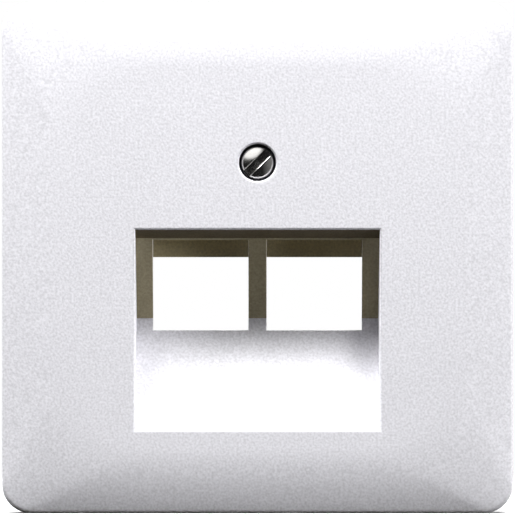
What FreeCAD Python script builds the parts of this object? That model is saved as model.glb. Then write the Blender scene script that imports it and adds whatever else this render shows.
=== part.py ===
import FreeCAD, Part
import math
import os

# Data outlet centre plate: a moulded cover for a wall outlet with two angled ports.
# Millimetres. X runs to the right, Z up, and Y into the wall, so the face looks along -Y.
# The origin is the centre of the square outline, on the plane of the rear rim.

# Plate: outline, rounded border of the face, and wall
plate_width = 70.0
plate_height = 70.0
plate_depth = 11.0
corner_radius = 3.9
face_corner_radius = 12.0
roll_width = 9.0
roll_radius = 32.0
roll_sections = 7
edge_radius = 0.8
shell_wall = 2.0

# Outlet bay: heights count from the plate's centre, depths from its face
bay_width = 33.5
bay_top = 3.85
bay_bottom = -23.7
bay_draft_deg = 1.0
bay_wall = 1.5
bay_edge_radius = 0.3
ceiling_drop = 1.2
ceiling_depth = 2.2
port_wall_tilt_deg = 30.0
port_wall_foot = -8.35
ramp_sag = 1.0

# Ports: two windows in the tilted wall, with a cross bar set back behind their upper edge
port_width = 13.1
port_pitch = 15.6
port_sill = -10.0
port_lip = 0.2
bar_reach = 2.4
bar_face_depth = 6.2
bar_thickness = 1.5

# Screw boss on the rear of the plate
screw_height = 13.0
screw_clearance = 0.1
head_clearance = 0.35
head_seat_depth = 2.1
mouth_chamfer = 0.3
boss_wall = 1.4
boss_rim_gap = 2.0
gusset_count = 4
gusset_reach = 3.6
gusset_thickness = 1.2

# Stiffening ribs between the bay and the skirt
rib_thickness = 1.2
rib_height = 3.6
side_rib_heights = (-1.0, -17.0)
end_rib_offsets = (-12.0, 12.0)

# Fixing screw with a raised slotted head
thread_radius = 1.5
screw_length = 19.0
screw_tip_chamfer = 0.4
head_radius = 2.2
head_side_height = 1.35
head_dome_height = 0.5
head_rim_chamfer = 0.2
slot_width = 1.1
slot_depth = 1.0
slot_angle_deg = 45.0

# Retaining washer that clips into a groove of the screw behind the boss
groove_depth = 0.3
retainer_overlap = 1.4
retainer_thickness = 1.0
retainer_chamfer = 0.2

# Spare length by which a cutting tool runs past the body it cuts, and how near counts as on a plane
overrun = 1.0
nearness = 1e-4

# Planes and heights that follow from the sizes above
face_y = -plate_depth
roll_angle = math.asin(roll_width / roll_radius)
shoulder_y = face_y + roll_radius * (1 - math.cos(roll_angle))
boss_end_y = -boss_rim_gap
head_seat_y = face_y + head_seat_depth
wall_top = bay_top - ceiling_drop
port_head = wall_top - port_lip
port_wall_slope = math.tan(math.radians(port_wall_tilt_deg))
bay_depth = ceiling_depth + (wall_top - port_wall_foot) * port_wall_slope
screw_hole_radius = thread_radius + screw_clearance
head_bore_radius = head_radius + head_clearance
boss_radius = head_bore_radius + boss_wall
groove_radius = thread_radius - groove_depth
retainer_radius = screw_hole_radius + retainer_overlap
across = FreeCAD.Vector(1, 0, 0)
inward = FreeCAD.Vector(0, 1, 0)
screw_axis = FreeCAD.Vector(0, 0, screw_height)


def polygon(points):
    """Edges that join the points in turn, left open."""
    return [Part.LineSegment(a, b).toShape() for a, b in zip(points, points[1:])]


def rounded_outline(half_width, half_height, radius, y):
    """A rounded rectangle in the plane at y, centred on the origin."""
    corners = []
    for quarter, (side, level) in enumerate(((1, 1), (-1, 1), (-1, -1), (1, -1))):
        centre = FreeCAD.Vector(side * (half_width - radius), y, level * (half_height - radius))
        turns = [math.radians(90 * quarter + step) for step in (0, 45, 90)]
        corners.append([centre + FreeCAD.Vector(math.cos(t), 0, math.sin(t)) * radius for t in turns])
    edges = []
    for corner, following in zip(corners, corners[1:] + corners[:1]):
        edges.append(Part.Arc(*corner).toShape())
        edges.append(Part.LineSegment(corner[2], following[0]).toShape())
    return Part.Wire(edges)


def outer_form():
    """The whole outside of the plate as a solid: a skirt, and a face that rolls off on all sides."""
    half_width = plate_width / 2
    half_height = plate_height / 2
    sections = []
    for step in range(roll_sections):
        angle = roll_angle * (1 - step / (roll_sections - 1))
        drawn_in = roll_width - roll_radius * math.sin(angle)
        corner = corner_radius + (face_corner_radius - corner_radius) * drawn_in / roll_width
        y = face_y + roll_radius * (1 - math.cos(angle))
        sections.append(rounded_outline(half_width - drawn_in, half_height - drawn_in, corner, y))
    border = Part.makeLoft(sections, True, False)
    skirt = Part.Face(sections[0]).extrude(inward * -shoulder_y)
    form = skirt.fuse(border)
    shoulder = [e for e in form.Edges if all(abs(v.Y - shoulder_y) < nearness for v in e.Vertexes)]
    return form.makeFillet(edge_radius, shoulder)


def hollow_run(half_width, length):
    """The section of the hollow behind the face, run along Z over a length centred on the origin."""
    top_y = face_y + shell_wall
    radius = roll_radius - shell_wall
    flat = half_width - (roll_width - shell_wall)
    angle = math.asin((half_width - flat) / radius)
    foot = []
    middle = []
    for side in (-1, 1):
        foot.append(FreeCAD.Vector(side * half_width, top_y + radius * (1 - math.cos(angle)), 0))
        sweep = FreeCAD.Vector(side * math.sin(angle / 2), 1 - math.cos(angle / 2), 0) * radius
        middle.append(FreeCAD.Vector(side * flat, top_y, 0) + sweep)
    brow = [FreeCAD.Vector(side * flat, top_y, 0) for side in (-1, 1)]
    rear = [FreeCAD.Vector(side * half_width, overrun, 0) for side in (-1, 1)]
    edges = polygon([rear[0], foot[0]])
    edges.append(Part.Arc(foot[0], middle[0], brow[0]).toShape())
    edges += polygon(brow)
    edges.append(Part.Arc(brow[1], middle[1], foot[1]).toShape())
    edges += polygon([foot[1], rear[1], rear[0]])
    run = Part.Face(Part.Wire(edges)).extrude(FreeCAD.Vector(0, 0, length))
    run.translate(FreeCAD.Vector(0, 0, -length / 2))
    return run


def hollow():
    """The inside of the shell: its section run both ways, within the skirt's rounded corners."""
    half_width = plate_width / 2 - shell_wall
    half_height = plate_height / 2 - shell_wall
    upright = hollow_run(half_width, plate_height)
    level = hollow_run(half_height, plate_width)
    level.rotate(FreeCAD.Vector(0, 0, 0), inward, 90)
    outline = rounded_outline(half_width, half_height, corner_radius - shell_wall, face_y)
    core = Part.Face(outline).extrude(inward * (plate_depth + overrun))
    return core.common(upright).common(level)


def bay_profile():
    """Side section of the outlet bay: sloped ceiling, tilted port wall and hollow ramp."""
    front = face_y - overrun
    top = FreeCAD.Vector(0, face_y, bay_top)
    brow = FreeCAD.Vector(0, face_y + ceiling_depth, wall_top)
    foot = FreeCAD.Vector(0, face_y + bay_depth, port_wall_foot)
    sill = FreeCAD.Vector(0, face_y, bay_bottom)
    chord = sill - foot
    sag = FreeCAD.Vector(0, -chord.z, chord.y).normalize() * ramp_sag
    middle = (foot + sill) * 0.5 + sag
    before_top = FreeCAD.Vector(0, front, bay_top)
    before_sill = FreeCAD.Vector(0, front, bay_bottom)
    edges = polygon([before_sill, before_top, top, brow, foot])
    edges.append(Part.Arc(foot, middle, sill).toShape())
    edges += polygon([sill, before_sill])
    return Part.Face(Part.Wire(edges))


def drafted_block(half_width, front_y, rear_y):
    """A block over the full height whose sides close in with the bay's draft from the face inwards."""
    slope = math.tan(math.radians(bay_draft_deg))
    corners = []
    for side, y in ((-1, front_y), (1, front_y), (1, rear_y), (-1, rear_y)):
        corners.append(FreeCAD.Vector(side * (half_width - slope * (y - face_y)), y, -plate_height))
    base = Part.Face(Part.Wire(polygon(corners + corners[:1])))
    return base.extrude(FreeCAD.Vector(0, 0, 2 * plate_height))


def bay_block(grow):
    """The bay's hollow, or with a wall's growth the outside of the walls round it."""
    section = bay_profile()
    if grow:
        section = section.makeOffset2D(grow, 2)
    reach = plate_width
    prism = section.extrude(across * (2 * reach))
    prism.translate(across * -reach)
    return prism.common(drafted_block(bay_width / 2 + grow, face_y - 2 * overrun, plate_depth))


def box_between(low, high):
    """A box from its lowest corner to its highest."""
    size = [b - a for a, b in zip(low, high)]
    return Part.makeBox(*size, FreeCAD.Vector(*low))


def cross_bar():
    """The bar behind the port wall that closes the upper edge of both windows."""
    half = bay_width / 2
    rear = face_y + bar_face_depth + bar_thickness
    low = (-half, face_y + ceiling_depth, port_head - bar_reach)
    return box_between(low, (half, rear, wall_top + bay_wall))


def port_cuts():
    """For each port the window right through the wall, and the pocket above it as far as the bar."""
    cuts = []
    bar_foot = port_head - bar_reach
    for side in (-1, 1):
        left = side * port_pitch / 2 - port_width / 2
        right = left + port_width
        cuts.append(box_between((left, face_y, port_sill), (right, plate_depth, bar_foot)))
        cuts.append(box_between((left, face_y, port_sill), (right, face_y + bar_face_depth, port_head)))
    return cuts


def screw_boss():
    """The boss behind the face that carries the screw, with its gussets."""
    length = boss_end_y - face_y
    boss = Part.makeCylinder(boss_radius, length, FreeCAD.Vector(0, face_y, screw_height), inward)
    foot_y = face_y + shell_wall / 2
    outline = [
        FreeCAD.Vector(0, foot_y, 0),
        FreeCAD.Vector(boss_radius + gusset_reach, foot_y, 0),
        FreeCAD.Vector(boss_radius + gusset_reach, face_y + shell_wall, 0),
        FreeCAD.Vector(boss_radius, boss_end_y - shell_wall, 0),
        FreeCAD.Vector(0, boss_end_y - shell_wall, 0),
    ]
    web = Part.Face(Part.Wire(polygon(outline + outline[:1])))
    gusset = web.extrude(FreeCAD.Vector(0, 0, gusset_thickness))
    gusset.translate(screw_axis - FreeCAD.Vector(0, 0, gusset_thickness / 2))
    for turn in range(gusset_count):
        copy = gusset.copy()
        copy.rotate(screw_axis, inward, (turn + 0.5) * 360 / gusset_count)
        boss = boss.fuse(copy)
    return boss


def turned(edges):
    """A half section in the XY plane turned about the screw's axis."""
    solid = Part.Face(Part.Wire(edges)).revolve(FreeCAD.Vector(0, 0, 0), inward, 360)
    solid.translate(screw_axis)
    return solid


def screw_hole():
    """The stepped hole for the screw: a chamfered mouth, the head's bore and the thread's hole."""
    front = face_y - overrun
    mouth = head_bore_radius + mouth_chamfer
    outline = [
        FreeCAD.Vector(0, front, 0),
        FreeCAD.Vector(mouth, front, 0),
        FreeCAD.Vector(mouth, face_y, 0),
        FreeCAD.Vector(head_bore_radius, face_y + mouth_chamfer, 0),
        FreeCAD.Vector(head_bore_radius, head_seat_y, 0),
        FreeCAD.Vector(screw_hole_radius, head_seat_y, 0),
        FreeCAD.Vector(screw_hole_radius, boss_end_y + overrun, 0),
        FreeCAD.Vector(0, boss_end_y + overrun, 0),
    ]
    return turned(polygon(outline + outline[:1]))


def stiffening_ribs():
    """Low ribs that tie the bay to the skirt on both sides, above and below."""
    low_y = face_y + shell_wall / 2
    high_y = face_y + shell_wall + rib_height
    half = rib_thickness / 2
    ribs = []
    for height in side_rib_heights:
        for inner, outer in ((-plate_width / 2, -bay_width / 2), (bay_width / 2, plate_width / 2)):
            ribs.append(box_between((inner, low_y, height - half), (outer, high_y, height + half)))
    for offset in end_rib_offsets:
        for lower, upper in ((-plate_height / 2, bay_bottom), (bay_top, plate_height / 2)):
            ribs.append(box_between((offset - half, low_y, lower), (offset + half, high_y, upper)))
    return ribs


def centre_plate():
    """The whole moulding: shell, bay with its ports, boss and ribs."""
    outside = outer_form()
    details = bay_block(bay_wall).fuse([cross_bar(), screw_boss()] + stiffening_ribs())
    rim = rounded_outline(plate_width / 2 - edge_radius, plate_height / 2 - edge_radius, corner_radius, 0)
    envelope = outside.fuse(Part.Face(rim).extrude(inward * plate_depth))
    plate = outside.cut(hollow()).fuse(details.common(envelope))
    plate = plate.cut([bay_block(0), screw_hole()] + port_cuts()).removeSplitter()
    mouth = [e for e in plate.Edges if on_bay_mouth(e, outside)]
    return plate.makeFillet(bay_edge_radius, mouth)


def on_bay_mouth(edge, outside):
    """Whether an edge lies on the outer skin of the plate and bounds the bay."""
    middle = edge.valueAt((edge.FirstParameter + edge.LastParameter) / 2)
    beside = abs(middle.x) < bay_width / 2 + nearness
    between = bay_bottom - nearness < middle.z < bay_top + nearness
    return beside and between and outside.Shells[0].distToShape(Part.Vertex(middle))[0] < nearness


def fixing_screw():
    """A turned screw: raised head, groove for the washer, thread at its outside size, and the slot."""
    rim_y = head_seat_y - head_side_height
    apex_y = rim_y - head_dome_height
    groove_end_y = boss_end_y + retainer_thickness
    tip_y = head_seat_y + screw_length
    dome_reach = head_radius - head_rim_chamfer
    dome_radius = (dome_reach ** 2 + head_dome_height ** 2) / (2 * head_dome_height)
    half_angle = math.asin(dome_reach / dome_radius) / 2
    apex = FreeCAD.Vector(0, apex_y, 0)
    sweep = FreeCAD.Vector(math.sin(half_angle), 1 - math.cos(half_angle), 0) * dome_radius
    dome_edge = FreeCAD.Vector(dome_reach, rim_y, 0)
    edges = [Part.Arc(apex, apex + sweep, dome_edge).toShape()]
    edges += polygon([
        dome_edge,
        FreeCAD.Vector(head_radius, rim_y + head_rim_chamfer, 0),
        FreeCAD.Vector(head_radius, head_seat_y, 0),
        FreeCAD.Vector(thread_radius, head_seat_y, 0),
        FreeCAD.Vector(thread_radius, boss_end_y, 0),
        FreeCAD.Vector(groove_radius, boss_end_y, 0),
        FreeCAD.Vector(groove_radius, groove_end_y, 0),
        FreeCAD.Vector(thread_radius, groove_end_y, 0),
        FreeCAD.Vector(thread_radius, tip_y - screw_tip_chamfer, 0),
        FreeCAD.Vector(thread_radius - screw_tip_chamfer, tip_y, 0),
        FreeCAD.Vector(0, tip_y, 0),
        apex,
    ])
    return turned(edges).cut(driver_slot(apex_y))


def driver_slot(apex_y):
    """The slot across the head, turned from the level."""
    low = (-2 * head_radius, apex_y - overrun, screw_height - slot_width / 2)
    high = (2 * head_radius, apex_y + slot_depth, screw_height + slot_width / 2)
    slot = box_between(low, high)
    slot.rotate(screw_axis, inward, -slot_angle_deg)
    return slot


def screw_retainer():
    """The washer that sits in the screw's groove against the end of the boss."""
    front_y = boss_end_y
    rear_y = boss_end_y + retainer_thickness
    outline = [
        FreeCAD.Vector(groove_radius, front_y, 0),
        FreeCAD.Vector(retainer_radius, front_y, 0),
        FreeCAD.Vector(retainer_radius, rear_y - retainer_chamfer, 0),
        FreeCAD.Vector(retainer_radius - retainer_chamfer, rear_y, 0),
        FreeCAD.Vector(groove_radius, rear_y, 0),
    ]
    return turned(polygon(outline + outline[:1]))


os.makedirs("parts", exist_ok=True)
for node, build in (
    ("centre_plate", centre_plate),
    ("fixing_screw", fixing_screw),
    ("screw_retainer", screw_retainer),
):
    shape = build()
    print(node, shape.ShapeType, len(shape.Solids), shape.isValid(), round(shape.Volume, 3))
    shape.exportStep("parts/" + node + ".step")
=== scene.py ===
import math

import bmesh
import bpy
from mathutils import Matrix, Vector


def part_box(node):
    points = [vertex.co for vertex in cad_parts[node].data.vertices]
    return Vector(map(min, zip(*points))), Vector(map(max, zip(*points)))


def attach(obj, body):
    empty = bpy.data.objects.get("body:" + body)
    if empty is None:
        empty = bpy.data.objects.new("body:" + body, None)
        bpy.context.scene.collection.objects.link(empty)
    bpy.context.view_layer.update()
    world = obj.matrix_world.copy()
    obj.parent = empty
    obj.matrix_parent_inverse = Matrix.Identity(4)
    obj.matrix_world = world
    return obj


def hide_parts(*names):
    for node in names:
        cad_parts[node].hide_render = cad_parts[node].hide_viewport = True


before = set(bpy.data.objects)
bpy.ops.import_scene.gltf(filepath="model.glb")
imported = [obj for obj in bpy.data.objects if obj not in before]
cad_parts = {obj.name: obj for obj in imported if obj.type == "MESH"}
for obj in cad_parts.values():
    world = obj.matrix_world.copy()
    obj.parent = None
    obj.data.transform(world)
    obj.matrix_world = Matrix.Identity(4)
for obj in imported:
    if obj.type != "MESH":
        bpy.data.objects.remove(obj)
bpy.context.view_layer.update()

# The plate: one moulding of white satin plastic. Its face rolls off on all four sides to an upright skirt
# that closes on the wall. Behind the face it is hollow, with the tray of the outlet bay, the screw's boss
# and stiffening ribs moulded on. Sizes are in metres, read from the frame or given in millimetres.
mm = 0.001
nearness = 0.01 * mm
sliver = 0.002 * mm
same_point = 0.001 * mm
overrun = 1 * mm
plate_low, plate_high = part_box("centre_plate")
half_width = plate_high.x
half_height = plate_high.z
face_y = plate_low.y
rim_y = 0.0
roll_width = 9 * mm
roll_radius = 32 * mm
corner_radius = 3.9 * mm
face_corner_radius = 12 * mm
edge_radius = 0.5 * mm
inner_edge_radius = 0.05 * mm
shell_wall = 2 * mm
rim_edge = 0.2 * mm
corner_steps = 14
roll_steps = 16
edge_steps = 5
bay_half_width = 16.75 * mm
bay_top = 3.85 * mm
bay_bottom = -23.7 * mm
bay_draft = math.radians(1)
bay_wall = 1.5 * mm
ceiling_drop = 1.2 * mm
ceiling_depth = 2.2 * mm
port_wall_tilt = math.radians(30)
port_wall_foot = -8.35 * mm
ramp_sag = 1 * mm
ramp_steps = 16
mouth_radius = 0.3 * mm
port_width = 13.1 * mm
port_pitch = 15.6 * mm
port_sill = -10 * mm
port_lip = 0.2 * mm
port_edge = 0.15 * mm
bar_reach = 2.4 * mm
bar_face_depth = 6.2 * mm
bar_thickness = 1.5 * mm
screw_height = 13 * mm
screw_hole_radius = 1.6 * mm
head_bore_radius = 2.55 * mm
head_seat_depth = 2.1 * mm
boss_radius = 3.95 * mm
boss_shortfall = 2 * mm
gusset_count = 4
gusset_reach = 3.6 * mm
gusset_thickness = 1.2 * mm
rib_thickness = 1.2 * mm
rib_height = 3.6 * mm
side_rib_heights = (-1 * mm, -17 * mm)
end_rib_offsets = (-12 * mm, 12 * mm)
crest_radius = 0.3 * mm
crest_steps = 3
round_steps = 64
blend_steps = 4
sharp_angle = math.radians(35)
mouth_angle = math.radians(20)
flat_angle = math.radians(0.05)
area_weight = 100


def new_piece(name):
    """An empty mesh at the origin, open for modelling."""
    bpy.ops.object.select_all(action="DESELECT")
    bpy.ops.mesh.primitive_plane_add(enter_editmode=True)
    bpy.ops.mesh.select_mode(type="VERT")
    bpy.ops.mesh.delete(type="VERT")
    piece = bpy.context.object
    piece.name = name
    piece.data.name = name
    return piece


def open_piece(piece):
    """Takes a piece back into edit mode with all of it selected."""
    bpy.ops.object.select_all(action="DESELECT")
    piece.select_set(True)
    bpy.context.view_layer.objects.active = piece
    bpy.ops.object.mode_set(mode="EDIT")
    bpy.ops.mesh.select_all(action="SELECT")


def pick(piece, test, kind="VERT"):
    """Selects those vertices or edges of the open piece that pass a test, and nothing else."""
    bpy.ops.mesh.select_mode(type=kind)
    bpy.ops.mesh.select_all(action="DESELECT")
    mesh = bmesh.from_edit_mesh(piece.data)
    for element in {"VERT": mesh.verts, "EDGE": mesh.edges}[kind]:
        if test(element):
            element.select_set(True)
    mesh.select_flush_mode()
    bmesh.update_edit_mesh(piece.data)


def close_piece(piece):
    """Merges doubles, turns the faces outwards and goes back to object mode."""
    bpy.ops.mesh.select_all(action="SELECT")
    bpy.ops.mesh.remove_doubles(threshold=same_point)
    bpy.ops.mesh.normals_make_consistent(inside=False)
    bpy.ops.object.mode_set(mode="OBJECT")
    return piece


def carve(target, tool, operation):
    """Joins, cuts or trims a piece with a tool, which is used up."""
    modifier = target.modifiers.new(operation, "BOOLEAN")
    modifier.operation = operation
    modifier.solver = "EXACT"
    modifier.object = tool
    bpy.context.view_layer.objects.active = target
    bpy.ops.object.modifier_apply(modifier=modifier.name)
    bpy.data.objects.remove(tool)


def outline(wide, high, radius, y):
    """An upright rectangle at depth y with its four corners rounded off."""
    bpy.ops.mesh.select_all(action="DESELECT")
    bpy.ops.mesh.primitive_plane_add(size=2, location=(0, y, 0), rotation=(math.pi / 2, 0, 0))
    bpy.ops.transform.resize(value=(wide, 1, high))
    bpy.ops.mesh.bevel(affect="VERTICES", offset=radius, segments=corner_steps)


def lofted(name, outlines):
    """A closed form through rounded outlines, each given as half width, half height, radius and depth."""
    piece = new_piece(name)
    for values in outlines:
        outline(*values)
        bpy.ops.mesh.delete(type="ONLY_FACE")
    depths = [y for wide, high, radius, y in outlines]
    for pair in zip(depths, depths[1:]):
        pick(piece, lambda v: min(abs(v.co.y - y) for y in pair) < same_point)
        bpy.ops.mesh.bridge_edge_loops()
    for end in (depths[0], depths[-1]):
        pick(piece, lambda v: abs(v.co.y - end) < same_point)
        bpy.ops.mesh.edge_face_add()
    return close_piece(piece)


def border_outlines(wall, rear_y):
    """Rounded outlines of the plate's form, drawn in by a wall, from a rear plane to the face."""
    roll = roll_radius - wall
    edge = max(edge_radius - wall, inner_edge_radius)
    come_in = roll_width - wall
    roll_end = math.asin((come_in - edge) / (roll - edge))
    roll_centre_y = face_y + roll_radius
    edge_centre_y = roll_centre_y - (roll - edge) * math.cos(roll_end)
    stations = [(0, rear_y)]
    for step in range(edge_steps):
        turn = (math.pi / 2 - roll_end) * step / edge_steps
        stations.append((edge * (1 - math.cos(turn)), edge_centre_y - edge * math.sin(turn)))
    for step in range(roll_steps + 1):
        angle = roll_end * (1 - step / roll_steps)
        stations.append((come_in - roll * math.sin(angle), roll_centre_y - roll * math.cos(angle)))
    outlines = []
    for drawn_in, y in stations:
        radius = corner_radius - wall + (face_corner_radius - corner_radius) * drawn_in / come_in
        outlines.append((half_width - wall - drawn_in, half_height - wall - drawn_in, radius, y))
    return outlines


def traced(name, points):
    """A new piece with a line drawn by extruding one point to the next."""
    piece = new_piece(name)
    bpy.ops.mesh.primitive_plane_add(location=points[0])
    bpy.ops.mesh.merge(type="CENTER")
    for before, after in zip(points, points[1:]):
        bpy.ops.mesh.extrude_region_move(TRANSFORM_OT_translate={"value": after - before})
    bpy.ops.mesh.select_all(action="SELECT")
    return piece


def drawn(name, points, along):
    """A flat section run out along a direction."""
    piece = traced(name, points)
    bpy.ops.mesh.edge_face_add()
    bpy.ops.mesh.extrude_region_move(TRANSFORM_OT_translate={"value": along})
    return close_piece(piece)


def block(name, low, high):
    """A box between two corners."""
    piece = new_piece(name)
    bpy.ops.mesh.primitive_cube_add(size=1, location=[(a + b) / 2 for a, b in zip(low, high)])
    bpy.ops.transform.resize(value=[b - a for a, b in zip(low, high)])
    return close_piece(piece)


def rod(name, radius, front_y, end_y):
    """A round bar on the screw's axis."""
    piece = new_piece(name)
    bpy.ops.mesh.primitive_cylinder_add(
        vertices=round_steps,
        radius=radius,
        depth=end_y - front_y,
        location=(0, (front_y + end_y) / 2, screw_height),
        rotation=(math.pi / 2, 0, 0),
    )
    return close_piece(piece)


def crested(piece):
    """Rounds the rear edges of a moulded detail, where the mould's cavity is rounded."""
    open_piece(piece)
    behind = face_y + shell_wall / 2
    pick(
        piece,
        lambda e: e.calc_face_angle() > sharp_angle and min(v.co.y for v in e.verts) > behind,
        "EDGE",
    )
    bpy.ops.mesh.bevel(offset=crest_radius, segments=crest_steps)
    return close_piece(piece)


def bay_section(wall):
    """The bay's side section, or with a wall the section of the tray round it, open to the front."""
    front_y = face_y - overrun
    foot = Vector((0, face_y + bay_depth, port_wall_foot))
    sill = Vector((0, face_y, bay_bottom))
    chord = sill - foot
    deeper = Vector((0, -chord.z, chord.y)).normalized()
    ramp_radius = (chord.length ** 2 / 4 + ramp_sag ** 2) / (2 * ramp_sag)
    ramp_half = math.asin(chord.length / 2 / ramp_radius)
    path = [
        Vector((0, front_y, bay_top)),
        Vector((0, face_y, bay_top)),
        Vector((0, face_y + ceiling_depth, wall_top)),
    ]
    for step in range(ramp_steps + 1):
        angle = ramp_half * (2 * step / ramp_steps - 1)
        along = chord.normalized() * (ramp_radius * math.sin(angle))
        away = deeper * (ramp_radius * math.cos(angle) - ramp_radius + ramp_sag)
        path.append((foot + sill) / 2 + along + away)
    path.append(Vector((0, front_y, bay_bottom)))
    runs = [(after - before).normalized() for before, after in zip(path, path[1:])]
    outward = [Vector((0, -run.z, run.y)) for run in runs]
    points = []
    for point, first, second in zip(path, outward[:1] + outward, outward + outward[-1:]):
        points.append(point + (first + second) * wall / (1 + first.dot(second)))
    return points


def bay_form(name, wall):
    """The space of the bay, or with a wall the solid tray round it, with drafted sides."""
    points = bay_section(wall)
    for point in points:
        point.x = (point.y - face_y) * math.tan(bay_draft) - bay_half_width - wall
    piece = traced(name, points)
    bpy.ops.mesh.edge_face_add()
    bpy.ops.mesh.extrude_region_move(TRANSFORM_OT_translate={"value": (0, 0, 0)})
    bpy.ops.transform.resize(value=(-1, 1, 1), center_override=(0, 0, 0))
    return close_piece(piece)


plate = lofted("moulded_plate", border_outlines(0, rim_y))
carve(plate, lofted("hollow", border_outlines(shell_wall, rim_y + overrun)), "DIFFERENCE")

# The tray of the bay, with the bar over its windows
wall_top = bay_top - ceiling_drop
port_head = wall_top - port_lip
bar_foot = port_head - bar_reach
bar_y = face_y + bar_face_depth
bay_depth = ceiling_depth + (wall_top - port_wall_foot) * math.tan(port_wall_tilt)
details = crested(bay_form("details", bay_wall))
bar_low = (-bay_half_width, face_y + ceiling_depth, bar_foot)
bar_high = (bay_half_width, bar_y + bar_thickness, wall_top + bay_wall)
carve(details, block("bar", bar_low, bar_high), "UNION")

# The boss round the screw, with its gussets on the diagonals
inner_face_y = face_y + shell_wall
head_seat_y = face_y + head_seat_depth
boss_end_y = rim_y - boss_shortfall
gusset_top_y = boss_end_y - shell_wall
carve(details, crested(rod("boss", boss_radius, face_y, boss_end_y)), "UNION")
gusset_profile = [
    (boss_radius / 2, face_y),
    (boss_radius + gusset_reach, face_y),
    (boss_radius + gusset_reach, inner_face_y),
    (boss_radius, gusset_top_y),
    (boss_radius / 2, gusset_top_y),
]
for turn in range(gusset_count):
    angle = (turn + 0.5) * 2 * math.pi / gusset_count
    outward = Vector((math.cos(angle), 0, math.sin(angle)))
    across = Vector((-math.sin(angle), 0, math.cos(angle))) * gusset_thickness
    start = Vector((0, 0, screw_height)) - across / 2
    points = [start + outward * out + Vector((0, y, 0)) for out, y in gusset_profile]
    carve(details, crested(drawn("gusset", points, across)), "UNION")

# Stiffening ribs from the tray to the skirt
rib_end_y = inner_face_y + rib_height
tray_side = bay_half_width + bay_wall / 2
tray_bottom = bay_bottom - bay_wall / 2
tray_top = bay_top + bay_wall / 2
for height in side_rib_heights:
    for left, right in ((-half_width, -tray_side), (tray_side, half_width)):
        low = (left, face_y, height - rib_thickness / 2)
        high = (right, rib_end_y, height + rib_thickness / 2)
        carve(details, crested(block("rib", low, high)), "UNION")
for offset in end_rib_offsets:
    for bottom, top in ((-half_height, tray_bottom), (tray_top, half_height)):
        low = (offset - rib_thickness / 2, face_y, bottom)
        high = (offset + rib_thickness / 2, rib_end_y, top)
        carve(details, crested(block("rib", low, high)), "UNION")

# The details are trimmed at the middle of the shell's wall and joined to it, then the openings are cut
carve(details, lofted("core", border_outlines(shell_wall / 2, rim_y + overrun)), "INTERSECT")
carve(plate, details, "UNION")
carve(plate, bay_form("bay", 0), "DIFFERENCE")
port_sides = []
for middle in (-port_pitch / 2, port_pitch / 2):
    left = middle - port_width / 2
    right = middle + port_width / 2
    port_sides += [left, right]
    low = (left, face_y, port_sill)
    carve(plate, block("window", low, (right, rim_y + overrun, bar_foot)), "DIFFERENCE")
    carve(plate, block("pocket", low, (right, bar_y, port_head)), "DIFFERENCE")
carve(plate, rod("hole", screw_hole_radius, face_y - overrun, rim_y), "DIFFERENCE")
carve(plate, rod("bore", head_bore_radius, face_y - overrun, head_seat_y), "DIFFERENCE")


def in_plane(edge, y):
    """Whether an edge is sharp and lies in the upright plane at depth y."""
    return edge.calc_face_angle() > mouth_angle and all(abs(v.co.y - y) < nearness for v in edge.verts)


def on_window(edge):
    """Whether an edge bounds a window on the front of the port wall or the ramp."""
    for v in edge.verts:
        beside = min(abs(v.co.x - x) for x in port_sides) < nearness
        wall_y = face_y + ceiling_depth + (wall_top - v.co.z) * math.tan(port_wall_tilt)
        on_wall = abs(v.co.y - wall_y) < nearness and v.co.z > port_wall_foot - nearness
        on_ramp = v.co.z < port_wall_foot and v.co.y < face_y + bay_depth
        if not (beside and (on_wall or on_ramp)):
            return False
    return any(max(abs(f.normal.x), abs(f.normal.z)) > math.cos(bay_draft) for f in edge.link_faces)


# Its edges: the mouths of the bay and the bore, the rear rim and the windows are rounded
open_piece(plate)
bpy.ops.mesh.remove_doubles(threshold=sliver)
bpy.ops.mesh.dissolve_limited(angle_limit=flat_angle)
pick(plate, lambda e: in_plane(e, face_y), "EDGE")
bpy.ops.mesh.bevel(offset=mouth_radius, segments=blend_steps)
pick(plate, lambda e: in_plane(e, rim_y), "EDGE")
bpy.ops.mesh.bevel(offset=rim_edge, segments=blend_steps)
pick(plate, on_window, "EDGE")
bpy.ops.mesh.bevel(offset=port_edge, segments=blend_steps)
bpy.ops.object.mode_set(mode="OBJECT")


def shade(piece, angle=sharp_angle):
    """Smooth shading that keeps flat faces flat, and edges sharp that turn by more than an angle."""
    bpy.ops.object.shade_smooth_by_angle(angle=angle)
    even = piece.modifiers.new("even shading", "WEIGHTED_NORMAL")
    even.keep_sharp = True
    even.weight = area_weight
    bpy.ops.object.modifier_apply(modifier=even.name)


shade(plate)

# Painted shade and gloss, kept on each face. The recesses are duller than the rest and get painted shade:
# olive on the bay's ceiling, the wall round the windows and the bar, and grey in the screw's bore.
face_without_painted_shade = (1, 1, 1, 0.5)
ceiling_painted_shade = (0.13, 0.105, 0.055, 0.05)
port_wall_painted_shade = (0.44, 0.39, 0.24, 0.1)
bar_painted_shade = (0.66, 0.58, 0.33, 0.1)
bore_painted_shade = (0.35, 0.35, 0.36, 0.1)
slant = math.sin(mouth_angle)
painted_shade_and_gloss = plate.data.attributes.new("painted_shade_and_gloss", "FLOAT_COLOR", "FACE")
# Faces deep in the bay and in the screw's bore are given painted shade; all others keep the plain white.
for face in plate.data.polygons:
    middle = face.center
    inside = face_y + mouth_radius / 2 < middle.y < bar_y + nearness
    in_bay = abs(middle.x) < bay_half_width and port_wall_foot < middle.z < bay_top
    in_bore = math.hypot(middle.x, middle.z - screw_height) < head_bore_radius
    face_painted_shade = face_without_painted_shade
    if inside and in_bay and face.normal.z < -slant:
        face_painted_shade = ceiling_painted_shade if middle.z > wall_top else port_wall_painted_shade
    elif inside and in_bay and face.normal.y < -slant:
        face_painted_shade = bar_painted_shade
    elif inside and in_bore and face.normal.y < slant:
        face_painted_shade = bore_painted_shade
    painted_shade_and_gloss.data[face.index].color = face_painted_shade

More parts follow.
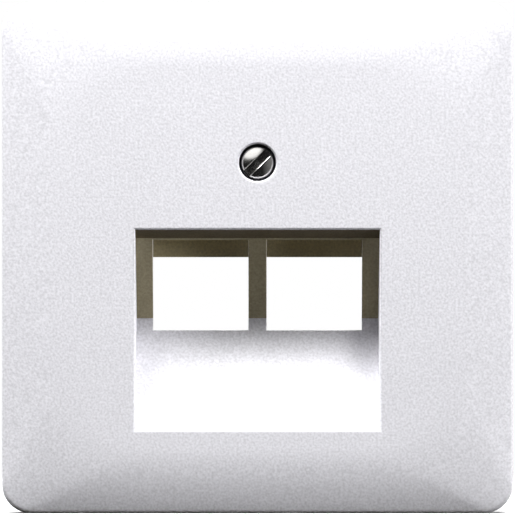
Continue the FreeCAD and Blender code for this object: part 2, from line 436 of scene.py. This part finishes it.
# Its plastic: white with a fine speckled grain, both in its colour and raised, and a slowly varying gloss
cloud_scale = 160
grain_scale = 3100
grain_depth = 0.018 * mm
plastic_colours = ((0.69, 0.685, 0.725, 1), (0.91, 0.905, 0.955, 1))
plastic_roughness = (0.42, 0.55)
noise_span = (0.3, 0.7)


def new_material(name, piece):
    """A material on a piece: its node tree and the Principled shader in it."""
    material = bpy.data.materials.new(name)
    material.use_nodes = True
    piece.data.materials.clear()
    piece.data.materials.append(material)
    return material.node_tree, material.node_tree.nodes["Principled BSDF"]


def texture(tree, kind, scale, centre=(0, 0, 0)):
    """A procedural texture on the piece's own coordinates about a centre, its scale to the metre."""
    place = tree.nodes.new("ShaderNodeTexCoord")
    mapping = tree.nodes.new("ShaderNodeMapping")
    mapping.vector_type = "TEXTURE"
    mapping.inputs["Location"].default_value = centre
    node = tree.nodes.new(kind)
    node.inputs["Scale"].default_value = scale
    tree.links.new(place.outputs["Object"], mapping.inputs["Vector"])
    tree.links.new(mapping.outputs["Vector"], node.inputs["Vector"])
    return node


def tinted(tree, source, colours, socket):
    """Lets a texture run a colour socket between two colours."""
    blend = tree.nodes.new("ShaderNodeValToRGB")
    for element, position, colour in zip(blend.color_ramp.elements, noise_span, colours):
        element.position = position
        element.color = colour
    tree.links.new(source.outputs["Fac"], blend.inputs["Fac"])
    tree.links.new(blend.outputs["Color"], socket)


def with_painted_shade(tree, painted_shade_and_gloss, socket, gloss_socket):
    """Multiplies what runs into a colour socket by the painted shade kept on the faces, and sets their
    gloss.
    """
    kept = tree.nodes.new("ShaderNodeAttribute")
    kept.attribute_name = painted_shade_and_gloss.name
    painted_darkening = tree.nodes.new("ShaderNodeMix")
    painted_darkening.data_type = "RGBA"
    painted_darkening.blend_type = "MULTIPLY"
    ends = {end.identifier: end for end in (*painted_darkening.inputs, *painted_darkening.outputs)}
    ends["Factor_Float"].default_value = 1
    tree.links.new(socket.links[0].from_socket, ends["A_Color"])
    tree.links.new(kept.outputs["Color"], ends["B_Color"])
    tree.links.new(ends["Result_Color"], socket)
    tree.links.new(kept.outputs["Alpha"], gloss_socket)


def ranged(tree, source, values, socket):
    """Lets a texture run a number socket between two values."""
    span = tree.nodes.new("ShaderNodeMapRange")
    span.inputs["From Min"].default_value = noise_span[0]
    span.inputs["From Max"].default_value = noise_span[1]
    span.inputs["To Min"].default_value = values[0]
    span.inputs["To Max"].default_value = values[1]
    tree.links.new(source.outputs["Fac"], span.inputs["Value"])
    tree.links.new(span.outputs["Result"], socket)


def embossed(tree, source, depth, socket):
    """Lets a texture raise the surface by up to a depth."""
    relief = tree.nodes.new("ShaderNodeBump")
    relief.inputs["Strength"].default_value = 1
    relief.inputs["Distance"].default_value = depth
    tree.links.new(source.outputs["Fac"], relief.inputs["Height"])
    tree.links.new(relief.outputs["Normal"], socket)


tree, shader = new_material("white_satin_plastic", plate)
clouds = texture(tree, "ShaderNodeTexNoise", cloud_scale)
grain = texture(tree, "ShaderNodeTexNoise", grain_scale)
tinted(tree, grain, plastic_colours, shader.inputs["Base Color"])
# The painted shade is multiplied into the plastic's colour, and its alpha sets each face's gloss.
with_painted_shade(tree, painted_shade_and_gloss, shader.inputs["Base Color"], shader.inputs["Specular IOR Level"])
ranged(tree, clouds, plastic_roughness, shader.inputs["Roughness"])
embossed(tree, grain, grain_depth, shader.inputs["Normal"])
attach(plate, "plate")
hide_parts("centre_plate")

# The fixing screw: turned from bar and nickel plated, with a low domed head, a slot across it and a rolled
# M3 thread. It stands in the plate's bore, goes through the boss and is kept there by the nylon washer.
head_radius = 2.2 * mm
head_side = 1.35 * mm
head_dome = 0.5 * mm
dome_steps = 9
slot_width = 1.1 * mm
slot_depth = 1.0 * mm
slot_angle = math.radians(45)
slot_edge = 0.12 * mm
slot_edge_steps = 8
shank_radius = 1.5 * mm
groove_radius = 1.2 * mm
groove_width = 1.0 * mm
collar_width = 0.4 * mm
screw_tip_y = 10.1 * mm
tip_chamfer = 0.4 * mm
pitch = 0.5 * mm
thread_radius = 1.48 * mm
thread_depth = 0.3 * mm
thread_crest = pitch / 8
thread_root = pitch / 4
thread_lead_in = 1.3 * pitch
thread_steps = 34
spare_turns = 4
screw_steps = 104
turned_edge = 0.06 * mm
turned_edge_steps = 8
turned_angle = math.radians(15)
groove_y = boss_end_y
collar_y = groove_y + groove_width
collar_end_y = collar_y + collar_width


def half_section(name, profile):
    """A line through points given as radius and depth, beside the screw's axis."""
    return traced(name, [Vector((radius, y, screw_height)) for radius, y in profile])


def turned(name, profile):
    """A turned solid: a half section spun round the screw's axis."""
    piece = half_section(name, profile)
    bpy.ops.mesh.spin(steps=screw_steps, angle=2 * math.pi, center=(0, 0, screw_height), axis=(0, 1, 0))
    return close_piece(piece)


def from_axis(v):
    """A vertex's place across the screw's axis."""
    return Vector((v.co.x, 0, v.co.z - screw_height))


# Head, shank, groove and collar
dome_rim_y = head_seat_y - head_side
dome_y = dome_rim_y - head_dome
dome_radius = (head_radius ** 2 + head_dome ** 2) / (2 * head_dome)
dome_half = math.asin(head_radius / dome_radius)
screw_profile = []
for step in range(dome_steps + 1):
    angle = dome_half * step / dome_steps
    screw_profile.append((dome_radius * math.sin(angle), dome_y + dome_radius * (1 - math.cos(angle))))
screw_profile += [
    (head_radius, head_seat_y),
    (shank_radius, head_seat_y),
    (shank_radius, groove_y),
    (groove_radius, groove_y),
    (groove_radius, collar_y),
    (shank_radius, collar_y),
    (shank_radius, collar_end_y),
    (0, collar_end_y),
]
screw = turned("slotted_screw", screw_profile)


def on_turning(edge):
    """Whether an edge is one of the turned rims of the head or the shank."""
    first, second = edge.verts
    radius = from_axis(first).length
    level = abs(first.co.y - second.co.y) < same_point
    on_rim = min(abs(radius - rim) for rim in (head_radius, shank_radius)) < nearness
    before_thread = first.co.y < collar_y - nearness
    return level and on_rim and before_thread and edge.is_convex and edge.calc_face_angle() > mouth_angle


open_piece(screw)
pick(screw, on_turning, "EDGE")
bpy.ops.mesh.bevel(offset=turned_edge, segments=turned_edge_steps)
close_piece(screw)

# The thread: one tooth's section wound along the axis, both ends cut flat, the tip turned to a cone
thread_start_y = collar_y + collar_width / 2
tooth_y = thread_start_y - thread_lead_in
crest_y = tooth_y + (pitch + thread_root) / 2
thread = half_section("thread", [
    (thread_radius - thread_depth, tooth_y),
    (thread_radius - thread_depth, tooth_y + thread_root),
    (thread_radius, crest_y - thread_crest / 2),
    (thread_radius, crest_y + thread_crest / 2),
    (thread_radius - thread_depth, tooth_y + pitch),
])
bpy.ops.object.mode_set(mode="OBJECT")
bpy.ops.object.empty_add(location=(0, 0, screw_height))
axis = bpy.context.object
bpy.context.view_layer.objects.active = thread
winding = thread.modifiers.new("winding", "SCREW")
winding.object = axis
winding.axis = "Y"
winding.screw_offset = pitch
winding.iterations = math.ceil((screw_tip_y - thread_start_y) / pitch) + spare_turns
winding.steps = thread_steps
bpy.ops.object.modifier_apply(modifier=winding.name)
bpy.data.objects.remove(axis)
open_piece(thread)
bpy.ops.mesh.remove_doubles(threshold=same_point)
for y, facing in ((thread_start_y, -1), (screw_tip_y + pitch, 1)):
    bpy.ops.mesh.select_all(action="SELECT")
    bpy.ops.mesh.bisect(
        plane_co=(0, y, screw_height),
        plane_no=(0, facing, 0),
        use_fill=True,
        clear_outer=True,
        threshold=same_point / 10,
    )
close_piece(thread)
carve(thread, turned("tip", [
    (0, thread_start_y - overrun),
    (head_radius, thread_start_y - overrun),
    (head_radius, screw_tip_y - tip_chamfer - head_radius + shank_radius),
    (shank_radius - tip_chamfer, screw_tip_y),
    (0, screw_tip_y),
]), "INTERSECT")
carve(screw, thread, "UNION")

# The slot across the head, and the rounding of its edges, which runs round the dome's centre
slot_along = Vector((math.cos(slot_angle), 0, math.sin(slot_angle)))
slot_across = Vector((-math.sin(slot_angle), 0, math.cos(slot_angle)))
slot_start = Vector((0, 0, screw_height)) - slot_across * slot_width / 2
slot_reach = slot_along * 2 * head_radius
slot_mouth = Vector((0, dome_y - overrun, 0))
slot_floor = Vector((0, dome_y + slot_depth, 0))
carve(screw, drawn("slot", [
    slot_start - slot_reach + slot_mouth,
    slot_start + slot_reach + slot_mouth,
    slot_start + slot_reach + slot_floor,
    slot_start - slot_reach + slot_floor,
], slot_across * slot_width), "DIFFERENCE")
dome_centre = Vector((0, dome_y + dome_radius, screw_height))
slot_rim = math.sqrt(dome_radius ** 2 - (slot_width / 2) ** 2)
rounding = []
for step in range(slot_edge_steps + 1):
    angle = math.pi / 2 * step / slot_edge_steps
    out = slot_width / 2 + slot_edge * (1 - math.cos(angle))
    rounding.append((out, slot_rim - slot_edge * (1 - math.sin(angle))))
rounding.append((slot_width / 2 + slot_edge, slot_rim + overrun))
rounding += [(-out, radius) for out, radius in reversed(rounding)]
rounding_points = [dome_centre + slot_across * out + slot_along * radius for out, radius in rounding]
rounder = traced("rounder", rounding_points)
bpy.ops.mesh.edge_face_add()
bpy.ops.mesh.spin(steps=screw_steps, angle=math.pi, center=dome_centre, axis=slot_across)
carve(screw, close_piece(rounder), "DIFFERENCE")
open_piece(screw)
bpy.ops.mesh.remove_doubles(threshold=sliver)
close_piece(screw)
shade(screw, turned_angle)

# Its plating: bright nickel, a little clouded, over the fine rings that the turning tool left
ring_scale = 1400
ring_depth = 0.0006 * mm
smear_scale = 900
nickel_colours = ((0.61, 0.6, 0.58, 1), (0.71, 0.7, 0.68, 1))
nickel_roughness = (0.14, 0.24)
tree, shader = new_material("bright_nickel", screw)
shader.inputs["Metallic"].default_value = 1
smears = texture(tree, "ShaderNodeTexNoise", smear_scale)
rings = texture(tree, "ShaderNodeTexWave", ring_scale, centre=(0, 0, screw_height))
rings.wave_type = "RINGS"
rings.rings_direction = "Y"
tinted(tree, smears, nickel_colours, shader.inputs["Base Color"])
ranged(tree, smears, nickel_roughness, shader.inputs["Roughness"])
embossed(tree, rings, ring_depth, shader.inputs["Normal"])
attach(screw, "screw")
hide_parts("fixing_screw")

# The retainer: a washer of natural nylon, snapped over the thread into the screw's groove behind the boss.
# Its rear edge is rounded more than its front one, which lies on the boss.
washer_radius = 3.0 * mm
washer_front_edge = 0.1 * mm
washer_rear_edge = 0.2 * mm
washer_edge_steps = 5
washer = turned("nylon_washer", [
    (groove_radius, groove_y),
    (washer_radius, groove_y),
    (washer_radius, collar_y),
    (groove_radius, collar_y),
    (groove_radius, groove_y),
])


def on_washer_rim(edge, y):
    """Whether an edge lies on the washer's outer rim at depth y."""
    level = all(abs(v.co.y - y) < same_point for v in edge.verts)
    return level and all(abs(from_axis(v).length - washer_radius) < same_point for v in edge.verts)


open_piece(washer)
pick(washer, lambda e: on_washer_rim(e, groove_y), "EDGE")
bpy.ops.mesh.bevel(offset=washer_front_edge, segments=washer_edge_steps)
pick(washer, lambda e: on_washer_rim(e, collar_y), "EDGE")
bpy.ops.mesh.bevel(offset=washer_rear_edge, segments=washer_edge_steps)
close_piece(washer)
shade(washer)

# Its nylon: milky and a little uneven, with a dull skin
milk_scale = 700
dull_skin_scale = 5000
dull_skin_depth = 0.004 * mm
nylon_colours = ((0.68, 0.655, 0.57, 1), (0.75, 0.735, 0.66, 1))
nylon_roughness = (0.38, 0.52)
tree, shader = new_material("natural_nylon", washer)
milk = texture(tree, "ShaderNodeTexNoise", milk_scale)
dull_skin = texture(tree, "ShaderNodeTexNoise", dull_skin_scale)
tinted(tree, milk, nylon_colours, shader.inputs["Base Color"])
ranged(tree, dull_skin, nylon_roughness, shader.inputs["Roughness"])
embossed(tree, dull_skin, dull_skin_depth, shader.inputs["Normal"])
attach(washer, "screw")
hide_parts("screw_retainer")

# The camera: straight in front of the plate and level with its middle. It stands far off, so that the
# sides of the bay run almost along the view.
camera_distance = 1500 * mm
frame_width = 70.69 * mm
camera_data = bpy.data.cameras.new("camera")
camera_data.lens = camera_data.sensor_width * camera_distance / frame_width
camera = bpy.data.objects.new("camera", camera_data)
camera.location = (0, face_y + roll_width / 2 - camera_distance, 0)
camera.rotation_euler = (math.pi / 2, 0, 0)
bpy.context.scene.collection.objects.link(camera)
bpy.context.scene.camera = camera

# The studio light: four soft square lamps in front of the plate, two high up and one at each side, and a
# fifth behind it for its hollow back. The camera doesn't see them.
lamp_values = [
    ("left_lamp", -45, 65, 500 * mm, 160 * mm, 2.6),
    ("left_side_lamp", -74, 45, 500 * mm, 160 * mm, 2.1),
    ("right_lamp", 40, 57, 500 * mm, 160 * mm, 2.25),
    ("right_side_lamp", 77, 2, 700 * mm, 250 * mm, 3.1),
    ("back_lamp", 155, 40, 700 * mm, 250 * mm, 4.2),
]
for name, azimuth, elevation, distance, size, watts in lamp_values:
    turn = math.radians(azimuth)
    rise = math.radians(elevation)
    towards = Vector((math.sin(turn) * math.cos(rise), -math.cos(turn) * math.cos(rise), math.sin(rise)))
    lamp_data = bpy.data.lights.new(name, "AREA")
    lamp_data.size = size
    lamp_data.energy = watts
    lamp = bpy.data.objects.new(name, lamp_data)
    lamp.location = towards * distance + Vector((0, face_y, 0))
    lamp.rotation_euler = towards.to_track_quat("Z", "Y").to_euler()
    lamp.visible_camera = False
    bpy.context.scene.collection.objects.link(lamp)

# The surround: white for the camera. Reflections see it white behind the plate and dark in front, with a
# white card up on the left and a dim right side. All that lights the plate from it is a weak warm glow.
surround_colour = (1, 1, 1, 1)
room_colour = (1, 0.9, 0.72, 1)
room_strength = 0.02
front_strength = 0.015
horizon = (-0.1, 0.25)
card_azimuth = math.radians(-28)
card_elevation = math.radians(44)
card_outer_edge = math.radians(36)
card_inner_edge = math.radians(28)
card_strength = 1.5
right_edge = (0.25, 0.8)
right_strength = 0.3


def greater(tree, first, second):
    """The greater of two values."""
    node = tree.nodes.new("ShaderNodeMath")
    node.operation = "MAXIMUM"
    tree.links.new(first, node.inputs[0])
    tree.links.new(second, node.inputs[1])
    return node.outputs["Value"]


def faded(tree, source, start, stop, peak=1):
    """A value that rises from nothing at one value of its source to a peak at another."""
    node = tree.nodes.new("ShaderNodeMapRange")
    node.inputs["From Min"].default_value = start
    node.inputs["From Max"].default_value = stop
    node.inputs["To Max"].default_value = peak
    tree.links.new(source, node.inputs["Value"])
    return node.outputs["Result"]


world = bpy.data.worlds.new("studio")
world.use_nodes = True
tree = world.node_tree
room = tree.nodes["Background"]
room.inputs["Color"].default_value = room_colour
room.inputs["Strength"].default_value = room_strength
surround = tree.nodes.new("ShaderNodeBackground")
surround.inputs["Color"].default_value = surround_colour
direction = tree.nodes.new("ShaderNodeTexCoord").outputs["Generated"]
axes = tree.nodes.new("ShaderNodeSeparateXYZ")
tree.links.new(direction, axes.inputs["Vector"])
backdrop = faded(tree, axes.outputs["Y"], *horizon)
towards_card = tree.nodes.new("ShaderNodeVectorMath")
towards_card.operation = "DOT_PRODUCT"
towards_card.inputs[1].default_value = (
    math.sin(card_azimuth) * math.cos(card_elevation),
    -math.cos(card_azimuth) * math.cos(card_elevation),
    math.sin(card_elevation),
)
tree.links.new(direction, towards_card.inputs[0])
card_edge = (math.cos(card_outer_edge), math.cos(card_inner_edge))
card = faded(tree, towards_card.outputs["Value"], *card_edge, peak=card_strength)
right_side = faded(tree, axes.outputs["X"], *right_edge, peak=right_strength)
ray = tree.nodes.new("ShaderNodeLightPath").outputs
level = tree.nodes.new("ShaderNodeMath")
level.operation = "MAXIMUM"
level.inputs[1].default_value = front_strength
by_camera = ray["Is Camera Ray"]
mirror_level = greater(tree, greater(tree, backdrop, right_side), card)
tree.links.new(greater(tree, mirror_level, by_camera), level.inputs[0])
tree.links.new(level.outputs["Value"], surround.inputs["Strength"])
mirrored = greater(tree, ray["Is Glossy Ray"], ray["Is Transmission Ray"])
choice = tree.nodes.new("ShaderNodeMixShader")
tree.links.new(greater(tree, mirrored, by_camera), choice.inputs[0])
tree.links.new(room.outputs["Background"], choice.inputs[1])
tree.links.new(surround.outputs["Background"], choice.inputs[2])
tree.links.new(choice.outputs["Shader"], tree.nodes["World Output"].inputs["Surface"])
bpy.context.scene.world = world

# The floor: a plain pale table top just under the plate, which takes its shadow and fades into the white
# round it. Only the camera and reflections see it, so it throws no light up on the plate.
floor_radius = 150 * mm
floor_setback = 105 * mm
floor_edge = 25 * mm
floor_drop = 0.05 * mm
floor_scale = 400
floor_colours = ((0.78, 0.78, 0.78, 1), (0.82, 0.82, 0.82, 1))
floor_roughness = 0.9
floor_centre = (0, floor_setback, -half_height - floor_drop)
floor = new_piece("floor")
bpy.ops.mesh.primitive_circle_add(
    vertices=round_steps,
    radius=floor_radius,
    fill_type="NGON",
    location=floor_centre,
)
bpy.ops.object.mode_set(mode="OBJECT")
tree, shader = new_material("pale_table_top", floor)
shader.inputs["Roughness"].default_value = floor_roughness
speckle = texture(tree, "ShaderNodeTexNoise", floor_scale)
tinted(tree, speckle, floor_colours, shader.inputs["Base Color"])
place = tree.nodes.new("ShaderNodeTexCoord")
reach = tree.nodes.new("ShaderNodeVectorMath")
reach.operation = "DISTANCE"
reach.inputs[1].default_value = floor_centre
tree.links.new(place.outputs["Object"], reach.inputs[0])
ray = tree.nodes.new("ShaderNodeLightPath").outputs
shown = tree.nodes.new("ShaderNodeMath")
shown.operation = "MULTIPLY"
fading = faded(tree, reach.outputs["Value"], floor_radius, floor_radius - floor_edge)
tree.links.new(fading, shown.inputs[0])
tree.links.new(greater(tree, ray["Is Camera Ray"], ray["Is Glossy Ray"]), shown.inputs[1])
clear = tree.nodes.new("ShaderNodeBsdfTransparent")
choice = tree.nodes.new("ShaderNodeMixShader")
tree.links.new(shown.outputs["Value"], choice.inputs[0])
tree.links.new(clear.outputs["BSDF"], choice.inputs[1])
tree.links.new(shader.outputs["BSDF"], choice.inputs[2])
tree.links.new(choice.outputs["Shader"], tree.nodes["Material Output"].inputs["Surface"])

# Colours are shown as they are
bpy.context.scene.view_settings.view_transform = "Standard"
